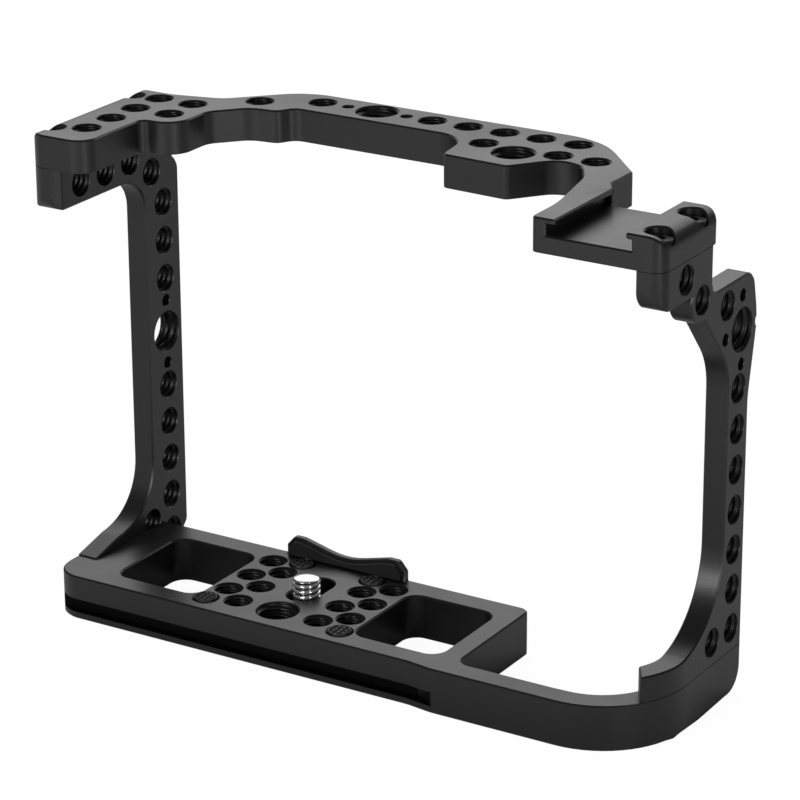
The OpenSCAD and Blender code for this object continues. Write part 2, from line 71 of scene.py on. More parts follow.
# Grooves of the bottom plate, as the heights of their walls and the places of their floors in Y
GROOVE_LOW, GROOVE_HIGH = -8.7, -5.8
GROOVE_FLOORS = (-14.3, 17.6)

# Arc between the foot and the column of the right side: in the solid, and as the photo shows it
FOOT_ARC_Y, FOOT_ARC_Z, FOOT_ARC_R = 6.8, 18.0, 11.7
SWEEP_R, SWEEP_FOOT_Z = 20.0, 5.8
FOOT_SLOPE_LOW, FOOT_SLOPE_HIGH = 4.7, 6.4

# How near to a plane a point counts as on it, in millimetres: for an edge, and for a groove's face
TOUCH, FLUSH = 0.05, 0.02

# Standard threads, as major diameter and pitch of the small and the large ones
SMALL_D, SMALL_PITCH = 6.35, 1.27
LARGE_D, LARGE_PITCH = 9.525, 1.5875
THREAD_DEPTH_SHARE = 0.5413
LOCATOR_D = 2.7

# A thread's flanks are drawn taller than the thread by this factor and cut off at its depth, and the
# crests of an inner thread are cut back by this share of its depth
FLANK_GAIN, CREST_FLAT = 1.15, 0.07

# From one small hole to the next: on the frame, and in the columns of the seat
HOLE_PITCH, SEAT_STEP = 9.0, 8.9

# Axes of the large threads, as (y, z) on the sides and (x, y) on the plates
LEFT_LARGE = (23.0, 45.6)
RIGHT_LARGE = (24.0, SEAM_Z - 22.1)
TOP_LARGE = (-1.6, 35.9)
LOBE_LARGE = (39.5, 23.9)
SEAT_LARGE = (0, -SEAT_STEP)

# From a large thread to the first small hole in its row, and to a locating hole beside it
LEFT_REACH, TOP_REACH, LOCATOR_REACH = 12.8, 14.05, 7.5
LEVEL, UPRIGHT = [(-1, 0), (1, 0)], [(0, -1), (0, 1)]

# Axes of single small holes, and of the ones that rows and columns start from
ARM_ROOT_HOLE = (18.9, SEAM_Z - 9.5)
ARM_MIDDLE_HOLE = (1.9, SEAM_Z - 4.9)
LEFT_FOOT_HOLE = (15.2, 1.2)
RIGHT_LOWEST_HOLE = (23.1, 5.25)
RIGHT_FOOT_HOLE = (14.3, 5.25)
EAR_HOLE = (17.1, SEAM_Z - 14.9)
STRUT_HOLE = (5.6, SEAM_Z - 10.3)
BLOCK_HOLE = (-1.7, SEAM_Z - 4)
TOP_CORNER_HOLE = (LEFT_OUT + 7, -6.7)
TOP_BEND_HOLE = (-28.2, 29.8)
LOBE_FIRST_HOLE = (30.6, 26.8)

# Columns of holes beside the slot, as their distance from its middle and their shift in steps
SEAT_COLUMNS = ((10.4, 0), (15.9, 0.5))

# A sleeve of thread stops short of both faces, and its outer wall lies inside the metal
SLEEVE_INSET = 0.3
SLEEVE_COVER = 0.04

# Head and neck of the camera screw, and where its thread starts
SCREW_HEAD_H, SCREW_NECK_R = 3.2, 2.45
SCREW_NECK_Z, SCREW_THREAD_Z = -2.6, -2.4
HEAD_BEVEL, HEAD_TOP_BEVEL, NECK_STEP = 0.5, 0.25, 0.02

# Rounded end of the screw, as radii and depths below its tip, and the depth at which its thread ends
SCREW_END = ((2.96, 0.5), (2.86, 0.34), (2.6, 0.2), (1.7, 0.05), (0.8, 0.0))
SCREW_THREAD_END = 0.4

# Depth of its thread, in radii, over which the painted shade in its roots fades out
SHADE_ROOT_R, SHADE_CREST_R = 2.62, 2.95

# Pitch of the tread on the round pads, and the share of a pad's box that its rim fills
TREAD_PITCH, PAD_SHARE = 1.25, 0.94

# Groove's half width and the rise of its sides, in a tread's wave, and the share of the radius it fills
GROOVE_SHARE, GROOVE_RISE, TREAD_SHARE = 0.28, 6, 0.9

# Depth of a pad's rounded edge, where it starts and at the side
PAD_EDGE_START, PAD_EDGE = 0.02, 0.15

# Edges sharper than these are chamfered, and shaded as edges
CHAMFER_ANGLE = math.radians(32)
CRISP_ANGLE = math.radians(29)

# Share of a joint that a groove's rim counts as, which leaves its edge all but sharp
RIM_SHARE = 1.4

# Share of pure white in the floor as the camera sees it. The rest takes the cage's soft shadow.
FLOOR_WHITE = 0.87

# Half the width of the floor in metres, and its distance below the plate
FLOOR_HALF, FLOOR_GAP = 3.0, 0.02

# Lights, as name, place, target and size in metres, and the studio value that holds the power
LIGHTS = (
    ("key", (-0.35, 0.75, 0.6), (0, 0, 0.05), (1.5, 0.7), "key_power"),
    ("front", (-0.1, -0.9, 0.35), (-0.05, -0.1, 0.0), (0.35, 0.25), "front_power"),
    ("right", (0.85, -0.5, 0.16), (0.05, 0, 0.05), (0.14, 0.3), "side_power"),
)


class CageSizes(bpy.types.PropertyGroup):
    """Sizes of the fine detail"""
    edge_chamfer: bpy.props.FloatProperty(
        name="Edge chamfer", description="Width of the chamfer on the outer edges",
        default=0.34 * MM, min=0.1 * MM, max=0.8 * MM, precision=5, unit="LENGTH")
    hole_chamfer_share: bpy.props.FloatProperty(
        name="Hole chamfer share",
        description="Chamfer of a hole's rim as a share of the edge chamfer",
        default=0.4, min=0.05, max=1.0, subtype="FACTOR")
    seam_chamfer_share: bpy.props.FloatProperty(
        name="Seam chamfer share",
        description="Chamfer along a seam as a share of the edge chamfer",
        default=0.3, min=0.02, max=1.0, subtype="FACTOR")
    tread_h: bpy.props.FloatProperty(
        name="Tread height", description="Height of the tread on the round pads",
        default=0.33 * MM, min=0.05 * MM, max=0.35 * MM, precision=5, unit="LENGTH")


class CageFinish(bpy.types.PropertyGroup):
    """Colours of the finishes and of painted shade, as sRGB hex values"""
    anodised: bpy.props.StringProperty(
        name="Anodised aluminium", description="Colour of the blasted black frame", default="#0d0d0e")
    # Painted shade: threads and groove floors take this colour, darker than the frame, in place of the
    # shade in holes and grooves
    thread: bpy.props.StringProperty(
        name="Thread and groove shade", description="Colour of the anodised threads", default="#050506")
    steel: bpy.props.StringProperty(
        name="Bright steel", description="Colour of the camera screw", default="#e9e9ea")
    # Black oxide, darkened further as painted shade on the heads in their counterbores
    black_steel: bpy.props.StringProperty(
        name="Black steel and shade", description="Colour of the joint screws", default="#0c0c0d")
    rubber: bpy.props.StringProperty(
        name="Rubber", description="Colour of the pads", default="#0e0e0f")


class CageStudio(bpy.types.PropertyGroup):
    """Camera and light"""
    azimuth: bpy.props.FloatProperty(
        name="Azimuth", description="Angle of the camera round the cage",
        default=math.radians(31.651), subtype="ANGLE")
    elevation: bpy.props.FloatProperty(
        name="Elevation", description="Angle of the camera above the floor",
        default=math.radians(20.642), subtype="ANGLE")
    roll: bpy.props.FloatProperty(
        name="Roll", description="Turn of the camera about its own axis",
        default=math.radians(-0.27), subtype="ANGLE")
    distance: bpy.props.FloatProperty(
        name="Distance", description="Distance from the camera to the seat, along its axis",
        default=766.32 * MM, unit="LENGTH")
    aim_right: bpy.props.FloatProperty(
        name="Aim right", description="How far right of the seat the camera aims",
        default=21.95 * MM, precision=5, unit="LENGTH")
    aim_up: bpy.props.FloatProperty(
        name="Aim up", description="How far above the seat the camera aims",
        default=43.09 * MM, precision=5, unit="LENGTH")
    lens: bpy.props.FloatProperty(
        name="Lens", description="Focal length on a 36 mm sensor, in millimetres", default=157.0)
    key_power: bpy.props.FloatProperty(
        name="Key power", description="Power of the large light behind and over the cage",
        default=4.8, unit="POWER")
    front_power: bpy.props.FloatProperty(
        name="Front power", description="Power of the small light in front of the cage",
        default=4.2, unit="POWER")
    side_power: bpy.props.FloatProperty(
        name="Side power", description="Power of the small light right of the cage",
        default=1.9, unit="POWER")
    world_level: bpy.props.FloatProperty(
        name="World level", description="Level of the even light from all round",
        default=0.12)


# Holes, as (y, z) or (x, y) of their axes in millimetres

def column(first, count, fixed, step=HOLE_PITCH):
    """Axes in a column: fixed across, first + step * i up."""
    return [(fixed, first + step * i) for i in range(count)]


def left_holes():
    """Small holes of the left side: the two groups about its large thread, the one at the arm's root
    and the one in the foot."""
    y, z = LEFT_LARGE
    lower = column(z - LEFT_REACH, 5, y, -HOLE_PITCH)
    upper = column(z + LEFT_REACH, 3, y)
    return lower + upper + [ARM_ROOT_HOLE, LEFT_FOOT_HOLE]


def arm_holes():
    """Small holes in a row along the arm of the left side."""
    y, z = ARM_MIDDLE_HOLE
    return [(y + HOLE_PITCH * i, z) for i in (-1, 0, 1)]


def right_holes():
    """Small holes of the right side: its column, one beside the lowest, one in the ear and one in the
    strut."""
    y, z = RIGHT_LOWEST_HOLE
    return column(z, 7, y) + [RIGHT_FOOT_HOLE, EAR_HOLE, STRUT_HOLE]


def top_holes():
    """Small holes of the top plate: two columns on its left end, the row through its large thread,
    one at the bend, and the row of the right lobe, where the lobe's large thread takes a place."""
    x, y = TOP_CORNER_HOLE
    left = [(x, y + HOLE_PITCH * i) for i in range(4)]
    left += [(x + HOLE_PITCH, y + HOLE_PITCH * i) for i in (2, 3)]
    x, y = TOP_LARGE
    row = [(x + TOP_REACH + HOLE_PITCH * i, y) for i in range(5)] + [(x - TOP_REACH, y)]
    x, y = LOBE_FIRST_HOLE
    lobe = [(x + HOLE_PITCH * i, y) for i in (0, 2, 3)]
    return left + row + [TOP_BEND_HOLE] + lobe


def seat_holes():
    """Small holes of the bottom plate: two columns on each side of the slot, half a step apart."""
    return [(side * x, (i + shift) * SEAT_STEP) for side in (-1, 1) for i in (-1, 0, 1)
            for x, shift in SEAT_COLUMNS]


def locators(centre, ways):
    """Locating holes beside a large thread, one in each of the ways."""
    return [(centre[0] + LOCATOR_REACH * a, centre[1] + LOCATOR_REACH * b) for a, b in ways]


# Node, axis, lowest and highest face, small holes, large holes and locating holes
HOLES = [
    ("bottom_plate", "z", PLATE_LOW, SEAT_Z, seat_holes(), [SEAT_LARGE], []),
    ("left_side", "x", LEFT_OUT, LEFT_IN, left_holes(), [LEFT_LARGE], locators(LEFT_LARGE, UPRIGHT)),
    ("left_side", "x", ARM_OUT, LEFT_IN, arm_holes(), [], []),
    ("right_side", "x", RIGHT_IN, RIGHT_OUT, right_holes(), [RIGHT_LARGE],
     locators(RIGHT_LARGE, UPRIGHT + LEVEL)),
    ("right_side", "x", BLOCK_IN, RIGHT_OUT, [BLOCK_HOLE], [], []),
    ("top_plate", "z", SEAM_Z, TOP_Z, top_holes(), [TOP_LARGE, LOBE_LARGE], locators(TOP_LARGE, LEVEL)),
]


# Meshes

def new_object(name, points, faces, smooth=True):
    """An object of points (n, 3) in metres and a list of faces, placed by its mesh."""
    mesh = bpy.data.meshes.new(name)
    mesh.from_pydata(points.tolist(), [], faces)
    mesh.validate()
    if smooth:
        mesh.shade_smooth()
    obj = bpy.data.objects.new(name, mesh)
    bpy.context.scene.collection.objects.link(obj)
    return obj


def ring_faces(rows, cols, close_rows):
    """Quads of a grid whose columns wrap round, and whose rows wrap too where close_rows says so."""
    i = np.arange(rows if close_rows else rows - 1)[:, None]
    j = np.arange(cols)[None, :]
    a, b = i * cols + j, i * cols + (j + 1) % cols
    c, d = ((i + 1) % rows) * cols + (j + 1) % cols, ((i + 1) % rows) * cols + j
    return np.stack([a, b, c, d], -1).reshape(-1, 4)


def triangle_wave(phase):
    """0 at whole numbers and 1 halfway between them, in straight lines."""
    return 2 * np.abs(phase - np.round(phase))


def lathe(profile, cols):
    """Points of a profile of (radius, height) pairs turned about Z, as rows by columns by 3."""
    angle = np.arange(cols) * 2 * np.pi / cols
    r, z = np.asarray(profile, float).T
    return np.stack([r[:, None] * np.cos(angle), r[:, None] * np.sin(angle),
                     np.broadcast_to(z[:, None], (len(z), cols))], -1)


def inner_thread(diameter, pitch, length, cols=40, rows_per_turn=8):
    """A thread inside a bore, as a closed sleeve along +Z. The inner wall is
    r = R - depth * crest(z / pitch - angle / 2 pi), which runs out over half a turn at both ends,
    and the outer wall lies just inside the metal."""
    depth = pitch * THREAD_DEPTH_SHARE
    rows = max(8, int(length / pitch * rows_per_turn))
    z = np.linspace(0, length, rows)[:, None]
    angle = (np.arange(cols) * 2 * np.pi / cols)[None, :]
    crest = 1 - np.clip(triangle_wave(z / pitch - angle / (2 * np.pi)) * FLANK_GAIN - CREST_FLAT, 0, 1)
    run_out = np.clip(np.minimum(z, length - z) / (0.5 * pitch), 0, 1)
    inner = diameter / 2 - depth * crest * run_out
    outer = np.full((2, cols), diameter / 2 + SLEEVE_COVER)
    radius = np.concatenate([inner, outer])
    height = np.concatenate([np.broadcast_to(z, inner.shape), [[length] * cols, [0] * cols]])
    points = np.stack([radius * np.cos(angle), radius * np.sin(angle), height], -1)
    return points.reshape(-1, 3), ring_faces(rows + 2, cols, True)


def outer_thread(diameter, pitch, low, high, cols=64, rows_per_turn=14):
    """Rows of a screw's thread from low to high: r = R - depth * root(z / pitch - angle / 2 pi)."""
    depth = pitch * THREAD_DEPTH_SHARE
    rows = int((high - low) / pitch * rows_per_turn)
    z = np.linspace(low, high, rows)[:, None]
    angle = (np.arange(cols) * 2 * np.pi / cols)[None, :]
    flank = triangle_wave(z / pitch - angle / (2 * np.pi)) * FLANK_GAIN
    root = 1 - np.sqrt(np.clip(1 - flank ** 2, 0, 1))
    start = np.clip((z - low) / (0.8 * pitch), 0, 1)
    end = np.clip((high - z) / (0.5 * pitch), 0, 1)
    radius = diameter / 2 - depth * np.maximum(root * start, 0.85 * (1 - end))
    height = np.broadcast_to(z, radius.shape)
    return np.stack([radius * np.cos(angle), radius * np.sin(angle), height], -1)


def place(points, axis, low, across, up):
    """Moves points along +Z to their bore: along the axis from low, at (across, up) on the others."""
    if axis == "z":
        return points + [across, up, low]
    return np.stack([points[:, 2] + low, points[:, 0] + across, points[:, 1] + up], -1)


def joined(parts):
    """Joins (points, faces) pairs into one pair."""
    starts = np.cumsum([0] + [len(p) for p, _ in parts[:-1]])
    return (np.concatenate([p for p, _ in parts]),
            np.concatenate([f + s for (_, f), s in zip(parts, starts)]))


def closed_lathe(rows, name):
    """A turned solid from grid rows whose first and last rows are closed by a fan to their middles."""
    n, cols = rows.shape[:2]
    points = np.concatenate([rows.reshape(-1, 3), [rows[0].mean(0), rows[-1].mean(0)]])
    j = np.arange(cols)
    low = np.stack([(j + 1) % cols, j, np.full(cols, n * cols)], -1)
    last = (n - 1) * cols
    high = np.stack([last + j, last + (j + 1) % cols, np.full(cols, n * cols + 1)], -1)
    faces = ring_faces(n, cols, False).tolist() + low.tolist() + high.tolist()
    return new_object(name, points * MM, faces)


def rims_of(node):
    """Axis direction, position and radius, in metres, of each hole of a node that has a fine rim."""
    return [(axis, a * MM, b * MM, d / 2 * MM)
            for name, axis, _, _, small, large, locators in HOLES if name == node
            for group, d in ((small, SMALL_D), (large, LARGE_D), (locators, LOCATOR_D))
            for a, b in group]


def on_rim(v, rims):
    """Whether a point lies on the wall of one of the holes."""
    for axis, a, b, r in rims:
        across, up = (v.x, v.y) if axis == "z" else (v.y, v.z)
        if abs(math.hypot(across - a, up - b) - r) < 0.03 * MM:
            return True
    return False


def seam_share(node, a, b):
    """How far an edge belongs to a joint between two of the machined pieces, from 0 to 1. It changes
    in steps at sharp corners only, and little by little round the corner of the bar."""
    low, high = min(a.z, b.z) / MM, max(a.z, b.z) / MM
    x, y = (a.x + b.x) / 2 / MM, (a.y + b.y) / 2 / MM
    level = -TOUCH < low and high < TOUCH
    if node == "top_plate":
        return float(high < SEAM_Z + TOUCH)
    if node == "right_side":
        return float(low > SEAM_Z - TOUCH or level)
    if node == "left_side":
        along_x = abs(a.x - b.x) > 4 * MM
        return float(low > SEAM_Z - TOUCH or level or (along_x and high < 0.4))
    if abs(low - GROOVE_LOW) < TOUCH and abs(high - GROOVE_LOW) < TOUCH:
        return RIM_SHARE
    if level and x > BAR_CORNER_X:
        return min(max((y - BAR_NEAR) / (FOOT_TIP_Y - BAR_NEAR), 0), 1)
    return float(level and abs(x - LEFT_IN) < TOUCH)


def pairs_at(bm, *places):
    """The two vertices, left one first, at each (y, z) of a profile that is drawn along X."""
    return [sorted((v for v in bm.verts if math.hypot(v.co.y / MM - y, v.co.z / MM - z) < 0.06),
                   key=lambda v: v.co.x) for y, z in places]


def close_toe(bm):
    """The two arcs of the toe's slope overlap a little and leave a thin tongue over a crack. This takes
    the tongue off and draws the crack's root up to the upper arc, so that the slope is one curve."""
    tip, above, shoulder, root, below = pairs_at(
        bm, (2.9, 2.8), (4.28, 2.87), (5.64, 3.09), (5.37, 2.8), (4.07, 2.75))
    tongue = set(tip + above + shoulder + root)
    faces = [f for f in bm.faces if set(f.verts) & set(tip) or set(f.verts) <= tongue]
    bmesh.ops.delete(bm, geom=faces, context="FACES_ONLY")
    bmesh.ops.weld_verts(bm, targetmap=dict(zip(above + root, below + shoulder)))
    bmesh.ops.delete(bm, geom=tip, context="VERTS")


def close_slit(bm):
    """The hole beside the column's foot just breaks through the tight arc. This closes the bore, and
    carries the arc past it."""
    before, first, last, after = pairs_at(
        bm, (11.559, 7.312), (12.219, 7.648), (13.213, 8.233), (13.677, 8.535))
    ends = [set(before + first), set(last + after)]
    bmesh.ops.delete(bm, geom=[f for f in bm.faces if any(set(f.verts) <= end for end in ends)],
                     context="FACES")
    bm.faces.new((before[0], before[1], after[1], after[0]))
    for side in (0, 1):
        bm.faces.new([pair[side] for pair in (before, after, last, first)])
    bm.faces.new((first[0], first[1], last[1], last[0]))
    bmesh.ops.recalc_face_normals(bm, faces=bm.faces)


def sweep_foot(bm):
    """The right side's foot runs into its column in one long arc, which keeps a wall about the hole
    beside it. This draws the tighter arc and the slope before it out to the long one."""
    column_y = FOOT_ARC_Y + FOOT_ARC_R
    sweep_y, sweep_z = column_y - SWEEP_R, SWEEP_FOOT_Z + SWEEP_R
    close_slit(bm)
    for z in np.linspace(FOOT_ARC_Z, sweep_z, 7)[1:]:
        bmesh.ops.bisect_plane(bm, geom=bm.verts[:] + bm.edges[:] + bm.faces[:], dist=0.001 * MM,
                               plane_co=(0, 0, z * MM), plane_no=(0, 0, 1))
    for v in bm.verts:
        y, z = v.co.y / MM, v.co.z / MM
        from_arc = Vector((y - FOOT_ARC_Y, z - FOOT_ARC_Z))
        if abs(y - column_y) < 0.03 and FOOT_ARC_Z + TOUCH < z < sweep_z:
            y = sweep_y + math.sqrt(SWEEP_R ** 2 - (sweep_z - z) ** 2)
        elif from_arc.x < -TOUCH and FOOT_SLOPE_LOW < z < FOOT_SLOPE_HIGH:
            z = sweep_z - math.sqrt(SWEEP_R ** 2 - max(y - sweep_y, 0) ** 2)
        elif from_arc.x > -TOUCH and from_arc.y < TOUCH and abs(from_arc.length - FOOT_ARC_R) < 0.012:
            # Outward from the middle of the tight arc to where that line meets the sweep
            along = from_arc.normalized()
            gap = Vector((FOOT_ARC_Y - sweep_y, FOOT_ARC_Z - sweep_z))
            half = along.dot(gap)
            reach = -half + math.sqrt(half ** 2 - gap.length_squared + SWEEP_R ** 2)
            y, z = FOOT_ARC_Y + along.x * reach, FOOT_ARC_Z + along.y * reach
        v.co.y, v.co.z = y * MM, z * MM


def machined(node, sizes):
    """A chamfered copy of a CAD piece, with a full chamfer on the outer edges, a finer one on the
    rims of holes and the finest along the seams. Only edges that stick out are chamfered. The
    facets stay crisp, as a cutter leaves them, and only curved walls are shaded smooth."""
    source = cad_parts[node]
    mesh = source.data.copy()
    bm = bmesh.new()
    bm.from_mesh(mesh)
    bmesh.ops.remove_doubles(bm, verts=bm.verts, dist=0.002 * MM)
    if node == "left_side":
        close_toe(bm)
    if node == "right_side":
        sweep_foot(bm)
    weights = bm.edges.layers.float.new("bevel_weight_edge")
    rims = rims_of(node)
    for edge in bm.edges:
        if len(edge.link_faces) != 2 or not edge.is_convex or edge.calc_face_angle(0) < CHAMFER_ANGLE:
            continue
        a, b = (v.co for v in edge.verts)
        seam = seam_share(node, a, b)
        edge[weights] = 1 - seam * (1 - sizes.seam_chamfer_share)
        if on_rim(a, rims) and on_rim(b, rims):
            edge[weights] = sizes.hole_chamfer_share
    bm.to_mesh(mesh)
    bm.free()
    obj = bpy.data.objects.new(node + "_finished", mesh)
    bpy.context.scene.collection.objects.link(obj)
    bevel = obj.modifiers.new("Chamfers", "BEVEL")
    bevel.limit_method = "WEIGHT"
    bevel.width = sizes.edge_chamfer
    bevel.segments = 1
    bevel.use_clamp_overlap = False
    bevel.loop_slide = False
    obj.data.shade_smooth()
    split = obj.modifiers.new("Crisp edges", "EDGE_SPLIT")
    split.use_edge_sharp = False
    split.split_angle = CRISP_ANGLE
    obj.modifiers.new("Normals", "WEIGHTED_NORMAL")
    return obj


def finish_piece(obj, body, slot, material, *nodes):
    """Gives a piece its body and its material, and lets it stand for CAD nodes, which it hides. Its
    slot is not used.
    """
    obj.data.materials.clear()
    obj.data.materials.append(material)
    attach(obj, body)
    if nodes:
        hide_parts(*nodes)


def mark_grooves(obj, material):
    """Gives the floors and the lower walls of the quick-release grooves a painted shade."""
    obj.data.materials.append(material)
    for face in obj.data.polygons:
        y, z = face.center.y / MM, face.center.z / MM
        floor = GROOVE_LOW < z < GROOVE_HIGH and min(abs(y - depth) for depth in GROOVE_FLOORS) < FLUSH
        wall = abs(z - GROOVE_LOW) < FLUSH and face.normal.z > 0.9
        if floor or wall:
            face.material_index = 1


# Materials

def linear(hex_value):
    """An sRGB hex colour as linear RGBA."""
    channels = [int(hex_value[i:i + 2], 16) / 255 for i in (1, 3, 5)]
    return [c / 12.92 if c <= 0.04045 else ((c + 0.055) / 1.055) ** 2.4 for c in channels] + [1.0]


def add(tree, kind, inputs=None, **settings):
    """Adds a shader node with its settings, and sets or links its inputs."""
    made = tree.nodes.new(kind)
    for key, value in settings.items():
        setattr(made, key, value)
    for key, value in (inputs or {}).items():
        if isinstance(value, bpy.types.NodeSocket):
            tree.links.new(value, made.inputs[key])
        else:
            made.inputs[key].default_value = value
    return made


def blank_material(name):
    """A node material with nothing in it but its output."""
    material = bpy.data.materials.get(name) or bpy.data.materials.new(name)
    material.use_nodes = True
    material.node_tree.nodes.clear()
    return material, material.node_tree


def anodised_aluminium(name, colour, roughness, grain_mm, grain_depth_mm, ior=1.6):
    """Type II black anodising on aluminium. The dyed oxide hides the metal and keeps a satin sheen
    that breaks up in the pits of the blasting, and handling leaves faint cloudy patches."""
    material, tree = blank_material(name)
    place_of = add(tree, "ShaderNodeTexCoord").outputs["Object"]
    grain = add(tree, "ShaderNodeTexNoise", {
        "Vector": place_of, "Scale": 1 / (grain_mm * MM), "Detail": 2.0})
    cloud = add(tree, "ShaderNodeTexNoise", {
        "Vector": place_of, "Scale": 1 / (22 * MM), "Detail": 3.0})
    rough = add(tree, "ShaderNodeMapRange", {
        "Value": cloud.outputs["Fac"], "From Min": 0.3, "From Max": 0.7,
        "To Min": roughness - 0.03, "To Max": roughness + 0.04})
    base = linear(colour)
    tone = add(tree, "ShaderNodeMix", {
        "Factor": cloud.outputs["Fac"], "A": [c * 0.9 for c in base[:3]] + [1],
        "B": [c * 1.12 for c in base[:3]] + [1]}, data_type="RGBA")
    bump = add(tree, "ShaderNodeBump", {
        "Height": grain.outputs["Fac"], "Strength": 0.35, "Distance": grain_depth_mm * MM})
    shader = add(tree, "ShaderNodeBsdfPrincipled", {
        "Base Color": tone.outputs[2], "Roughness": rough.outputs["Result"],
        "Normal": bump.outputs["Normal"], "IOR": ior})
    add(tree, "ShaderNodeOutputMaterial", {"Surface": shader.outputs["BSDF"]})
    return material


def painted_groove_shade(name, colour, step_mm):
    """Floor of a milled groove under black anodising. The passes of the cutter stay as faint level
    lines, uneven in depth. The band is painted as shade, darker and less glossy than the blasted faces."""
    material, tree = blank_material(name)
    place_of = add(tree, "ShaderNodeTexCoord").outputs["Object"]
    height = add(tree, "ShaderNodeSeparateXYZ", {"Vector": place_of}).outputs["Z"]
    passes = add(tree, "ShaderNodeMath", {0: height, 1: 1 / (step_mm * MM)}, operation="MULTIPLY")
    lines = add(tree, "ShaderNodeTexNoise", {"W": passes.outputs[0], "Scale": 1.0, "Detail": 1.0},
                noise_dimensions="1D")
    bump = add(tree, "ShaderNodeBump", {
        "Height": lines.outputs["Fac"], "Strength": 0.6, "Distance": 0.015 * MM})
    shader = add(tree, "ShaderNodeBsdfPrincipled", {
        "Base Color": linear(colour), "Roughness": 0.6, "Normal": bump.outputs["Normal"], "IOR": 1.15})
    add(tree, "ShaderNodeOutputMaterial", {"Surface": shader.outputs["BSDF"]})
    return material


def painted_root_shade(tree, place_of, base, axis_y, root_r, crest_r, end_z):
    """Colour of a thread about Z with painted shade in its roots: the metal darkens from crest_r in to
    root_r, where the roots lie in shade and mirror the dark plate. Above end_z, on the screw's end,
    none is painted."""
    from_axis = add(tree, "ShaderNodeVectorMath", {
        0: place_of, 1: (0, axis_y, 0)}, operation="SUBTRACT")
    level = add(tree, "ShaderNodeVectorMath", {
        0: from_axis.outputs[0], 1: (1, 1, 0)}, operation="MULTIPLY")
    reach = add(tree, "ShaderNodeVectorMath", {0: level.outputs[0]}, operation="LENGTH")
    crest = add(tree, "ShaderNodeMapRange", {
        "Value": reach.outputs["Value"], "From Min": root_r, "From Max": crest_r,
        "To Min": 0.03, "To Max": 1.0})
    height = add(tree, "ShaderNodeSeparateXYZ", {"Vector": place_of}).outputs["Z"]
    end = add(tree, "ShaderNodeMath", {0: height, 1: end_z}, operation="GREATER_THAN")
    unshaded = add(tree, "ShaderNodeMath", {
        0: crest.outputs["Result"], 1: end.outputs[0]}, operation="MAXIMUM")
    mixed = add(tree, "ShaderNodeMix", {
        "Factor": unshaded.outputs[0], "A": (0.004, 0.004, 0.004, 1), "B": base}, data_type="RGBA")
    return mixed.outputs[2]


def turned_steel(name, colour, roughness, metallic, thread=None):
    """Turned steel: fine rings from the tool, closer together than they can be seen singly,
    so they are drawn 0.12 mm apart, over a bright and slightly uneven metal."""
    material, tree = blank_material(name)
    place_of = add(tree, "ShaderNodeTexCoord").outputs["Object"]
    # Painted shade: where a thread is given, its roots are darkened towards black
    base = painted_root_shade(tree, place_of, linear(colour), *thread) if thread else linear(colour)
    height = add(tree, "ShaderNodeSeparateXYZ", {"Vector": place_of}).outputs["Z"]
    rings = add(tree, "ShaderNodeTexNoise", {"W": add(tree, "ShaderNodeMath", {
        0: height, 1: 1 / (0.12 * MM)}, operation="MULTIPLY").outputs[0], "Scale": 1.0},
        noise_dimensions="1D")
    haze = add(tree, "ShaderNodeTexNoise", {"Vector": place_of, "Scale": 1 / (1.5 * MM), "Detail": 3.0})
    rough = add(tree, "ShaderNodeMapRange", {
        "Value": haze.outputs["Fac"], "To Min": roughness - 0.06, "To Max": roughness + 0.08})
    bump = add(tree, "ShaderNodeBump", {
        "Height": rings.outputs["Fac"], "Strength": 0.2, "Distance": 0.01 * MM})
    shader = add(tree, "ShaderNodeBsdfPrincipled", {
        "Base Color": base, "Roughness": rough.outputs["Result"],
        "Metallic": metallic, "Normal": bump.outputs["Normal"]})
    add(tree, "ShaderNodeOutputMaterial", {"Surface": shader.outputs["BSDF"]})
    return material


def moulded_rubber(name, colour):
    """Moulded rubber: matt, with a faint bloom and the fine grain of the mould."""
    material, tree = blank_material(name)
    place_of = add(tree, "ShaderNodeTexCoord").outputs["Object"]
    bloom = add(tree, "ShaderNodeTexNoise", {
        "Vector": place_of, "Scale": 1 / (3 * MM), "Detail": 4.0})
    grain = add(tree, "ShaderNodeTexNoise", {
        "Vector": place_of, "Scale": 1 / (0.2 * MM), "Detail": 2.0})
    base = linear(colour)
    tone = add(tree, "ShaderNodeMix", {
        "Factor": bloom.outputs["Fac"], "A": [c * 0.8 for c in base[:3]] + [1],
        "B": [c * 1.3 for c in base[:3]] + [1]}, data_type="RGBA")
    bump = add(tree, "ShaderNodeBump", {
        "Height": grain.outputs["Fac"], "Strength": 0.4, "Distance": 0.03 * MM})
    shader = add(tree, "ShaderNodeBsdfPrincipled", {
        "Base Color": tone.outputs[2], "Roughness": 0.5, "Normal": bump.outputs["Normal"], "IOR": 1.5})
    add(tree, "ShaderNodeOutputMaterial", {"Surface": shader.outputs["BSDF"]})
    return material


def seamless_paper(name, tint):
    """Seamless paper: the camera sees it as white with a soft shadow under the cage. Its tint is
    what the upright faces of the cage mirror."""
    material, tree = blank_material(name)
    rays = add(tree, "ShaderNodeLightPath")
    shader = add(tree, "ShaderNodeBsdfDiffuse", {"Color": linear(tint)})
    white = add(tree, "ShaderNodeEmission", {"Color": (1, 1, 1, 1), "Strength": 1.1})
    seen = add(tree, "ShaderNodeMath", {
        0: rays.outputs["Is Camera Ray"], 1: FLOOR_WHITE}, operation="MULTIPLY")
    mixed = add(tree, "ShaderNodeMixShader", {
        0: seen.outputs[0], 1: shader.outputs[0], 2: white.outputs[0]})
    add(tree, "ShaderNodeOutputMaterial", {"Surface": mixed.outputs[0]})
    return material


# Operators

